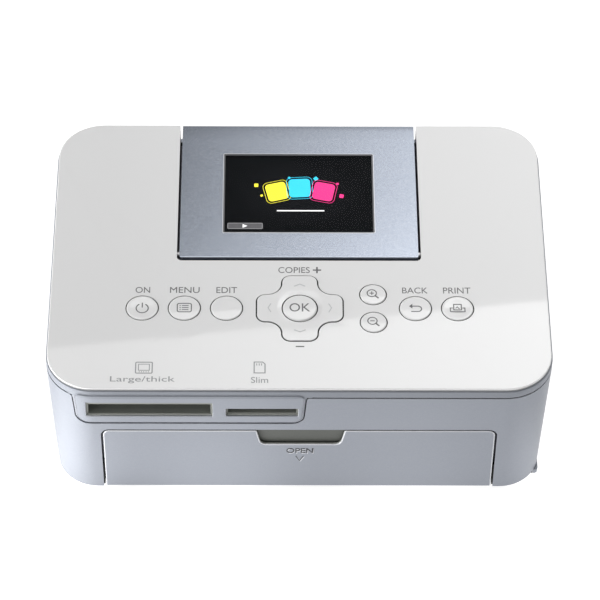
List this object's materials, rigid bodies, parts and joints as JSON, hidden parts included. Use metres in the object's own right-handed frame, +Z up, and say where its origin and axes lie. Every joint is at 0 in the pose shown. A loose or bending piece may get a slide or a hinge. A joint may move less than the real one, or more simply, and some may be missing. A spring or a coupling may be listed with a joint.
{
  "type": "compact photo printer",
  "caption": "Compact desktop photo printer with a tilting screen, round keys, a four-way pad, memory card slots, a drop-down front door, a side cartridge door and a roller print engine",
  "frame": {"origin": "middle of the printer's bounding box, on the surface the feet stand on", "axes": "+X to the right seen from the front, +Y from the front door to the rear, +Z up"},
  "size_m": [0.1786, 0.1351, 0.061],
  "materials": {
    "white_gloss": "glossy white moulded plastic",
    "silver_blue_plastic": "satin silver-blue painted plastic",
    "screen_shell": "metallic blue-grey plastic",
    "grey_plastic": "matt grey moulded plastic",
    "black_plastic": "matt black plastic",
    "window": "clear gloss window",
    "rubber": "dark rubber",
    "steel": "turned steel",
    "sheet_steel": "zinc-plated sheet steel",
    "circuit_board": "green solder mask",
    "ivory_plastic": "natural acetal",
    "brass": "machined brass",
    "alu": "extruded aluminium"
  },
  "bodies": {
    "casing": {"top_plate": "white_gloss", "upper_frame": "silver_blue_plastic", "main_case": "silver_blue_plastic", "base_tray": "grey_plastic", "rear_cover": "silver_blue_plastic", "feet": "rubber", "case_screws": "steel", "small_screws": "steel", "screen_hinge_pins": "steel", "side_door_pin": "steel", "pad_cradle": "ivory_plastic", "key_board": "circuit_board", "key_switches": "black_plastic", "card_board": "circuit_board", "large_card_socket": "black_plastic", "small_card_socket": "black_plastic", "main_board": "circuit_board", "board_chips": "black_plastic", "dc_inlet": "black_plastic", "usb_socket": "steel", "door_catch": "grey_plastic", "bay_floor": "grey_plastic", "paper_guides": "grey_plastic", "chassis_left": "sheet_steel", "chassis_right": "sheet_steel", "gear_plate": "sheet_steel", "feed_motor": "steel", "head_shaft": "steel"},
    "front_door": {"front_door": "silver_blue_plastic"},
    "side_door": {"side_door": "silver_blue_plastic"},
    "screen": {"screen_bezel": "screen_shell", "screen_back": "grey_plastic", "screen_lens": "window", "lcd_panel": "black_plastic"},
    "on_button": {"on_button": "white_gloss"},
    "menu_button": {"menu_button": "white_gloss"},
    "edit_button": {"edit_button": "white_gloss"},
    "ok_button": {"ok_button": "white_gloss"},
    "zoom_in_button": {"zoom_in_button": "white_gloss"},
    "zoom_out_button": {"zoom_out_button": "white_gloss"},
    "back_button": {"back_button": "white_gloss"},
    "print_button": {"print_button": "white_gloss"},
    "pad_ring": {"pad_pivot_ring": "ivory_plastic"},
    "control_pad": {"control_pad": "white_gloss"},
    "platen": {"platen_roller": "rubber", "platen_shaft": "steel", "platen_gear": "ivory_plastic"},
    "capstan": {"capstan_roller": "steel", "capstan_gear": "ivory_plastic"},
    "pinch_roller": {"pinch_roller": "rubber", "pinch_shaft": "steel"},
    "pickup": {"pickup_rollers": "rubber", "pickup_shaft": "steel", "pickup_gear": "ivory_plastic"},
    "takeup_spindle": {"takeup_spindle": "ivory_plastic"},
    "supply_spindle": {"supply_spindle": "ivory_plastic"},
    "idler_gear": {"idler_gear": "ivory_plastic"},
    "motor_pinion": {"motor_pinion": "brass"},
    "print_head": {"head_arm": "sheet_steel", "thermal_head": "alu"}
  },
  "joints": [
    {"name": "front_door_hinge", "type": "hinge", "parent": "casing", "child": "front_door", "pos_m": [0, -0.06243, 0.00711], "axis": [1, 0, 0], "range_deg": [0, 90]},
    {"name": "side_door_hinge", "type": "hinge", "parent": "casing", "child": "side_door", "pos_m": [0.08557, 0.039, 0.02878], "axis": [0.0387, 0, 0.9993], "range_deg": [0, 90]},
    {"name": "screen_tilt", "type": "hinge", "parent": "casing", "child": "screen", "pos_m": [0, -0.0012, 0.0573], "axis": [1, 0, 0], "range_deg": [0, 45]},
    {"name": "on_press", "type": "slide", "parent": "casing", "child": "on_button", "axis": [0, 0, -1], "range_m": [0, 0.0006], "stiffness_N_per_m": 400, "springref_m": -0.0004},
    {"name": "menu_press", "type": "slide", "parent": "casing", "child": "menu_button", "axis": [0, 0, -1], "range_m": [0, 0.0006], "stiffness_N_per_m": 400, "springref_m": -0.0004},
    {"name": "edit_press", "type": "slide", "parent": "casing", "child": "edit_button", "axis": [0, 0, -1], "range_m": [0, 0.0006], "stiffness_N_per_m": 400, "springref_m": -0.0004},
    {"name": "ok_press", "type": "slide", "parent": "casing", "child": "ok_button", "axis": [0, 0, -1], "range_m": [0, 0.0006], "stiffness_N_per_m": 400, "springref_m": -0.0004},
    {"name": "zoom_in_press", "type": "slide", "parent": "casing", "child": "zoom_in_button", "axis": [0, 0, -1], "range_m": [0, 0.0006], "stiffness_N_per_m": 400, "springref_m": -0.0004},
    {"name": "zoom_out_press", "type": "slide", "parent": "casing", "child": "zoom_out_button", "axis": [0, 0, -1], "range_m": [0, 0.0006], "stiffness_N_per_m": 400, "springref_m": -0.0004},
    {"name": "back_press", "type": "slide", "parent": "casing", "child": "back_button", "axis": [0, 0, -1], "range_m": [0, 0.0006], "stiffness_N_per_m": 400, "springref_m": -0.0004},
    {"name": "print_press", "type": "slide", "parent": "casing", "child": "print_button", "axis": [0, 0, -1], "range_m": [0, 0.0006], "stiffness_N_per_m": 400, "springref_m": -0.0004},
    {"name": "pad_rock_updown", "type": "hinge", "parent": "casing", "child": "pad_ring", "pos_m": [0.0002, -0.0296, 0.05665], "axis": [1, 0, 0], "range_deg": [-1.8, 1.8], "stiffness_Nm_per_rad": 0.2},
    {"name": "pad_rock_sideways", "type": "hinge", "parent": "pad_ring", "child": "control_pad", "pos_m": [0.0002, -0.0296, 0.05665], "axis": [0, 1, 0], "range_deg": [-1.8, 1.8], "stiffness_Nm_per_rad": 0.2},
    {"name": "print_head_lift", "type": "hinge", "parent": "casing", "child": "print_head", "pos_m": [0, -0.0045, 0.0475], "axis": [1, 0, 0], "range_deg": [0, 5]},
    {"name": "platen_spin", "type": "hinge", "parent": "casing", "child": "platen", "pos_m": [0, 0.0175, 0.0195], "axis": [1, 0, 0], "continuous": true},
    {"name": "capstan_spin", "type": "hinge", "parent": "casing", "child": "capstan", "pos_m": [0, 0.0467, 0.0228], "axis": [1, 0, 0], "continuous": true},
    {"name": "pinch_spin", "type": "hinge", "parent": "casing", "child": "pinch_roller", "pos_m": [0, 0.0467, 0.0297], "axis": [1, 0, 0], "continuous": true},
    {"name": "pickup_spin", "type": "hinge", "parent": "casing", "child": "pickup", "pos_m": [0, -0.01695, 0.03348], "axis": [1, 0, 0], "continuous": true},
    {"name": "takeup_spin", "type": "hinge", "parent": "casing", "child": "takeup_spindle", "pos_m": [0, 0.0031, 0.03666], "axis": [1, 0, 0], "continuous": true},
    {"name": "idler_spin", "type": "hinge", "parent": "casing", "child": "idler_gear", "pos_m": [0, 0.03407, 0.01675], "axis": [1, 0, 0], "continuous": true},
    {"name": "motor_spin", "type": "hinge", "parent": "casing", "child": "motor_pinion", "pos_m": [0, 0.02839, 0.03039], "axis": [1, 0, 0], "continuous": true},
    {"name": "supply_spin", "type": "hinge", "parent": "casing", "child": "supply_spindle", "pos_m": [0, 0.032, 0.03666], "axis": [1, 0, 0], "continuous": true}
  ],
  "couplings": [
    {"joint": "capstan_spin", "follows": "platen_spin", "ratio": 1.3333},
    {"joint": "pinch_spin", "follows": "platen_spin", "ratio": -1.2549},
    {"joint": "pickup_spin", "follows": "platen_spin", "ratio": 1.2308},
    {"joint": "takeup_spin", "follows": "platen_spin", "ratio": -1},
    {"joint": "idler_spin", "follows": "platen_spin", "ratio": -2},
    {"joint": "motor_spin", "follows": "platen_spin", "ratio": -2.6667}
  ]
}
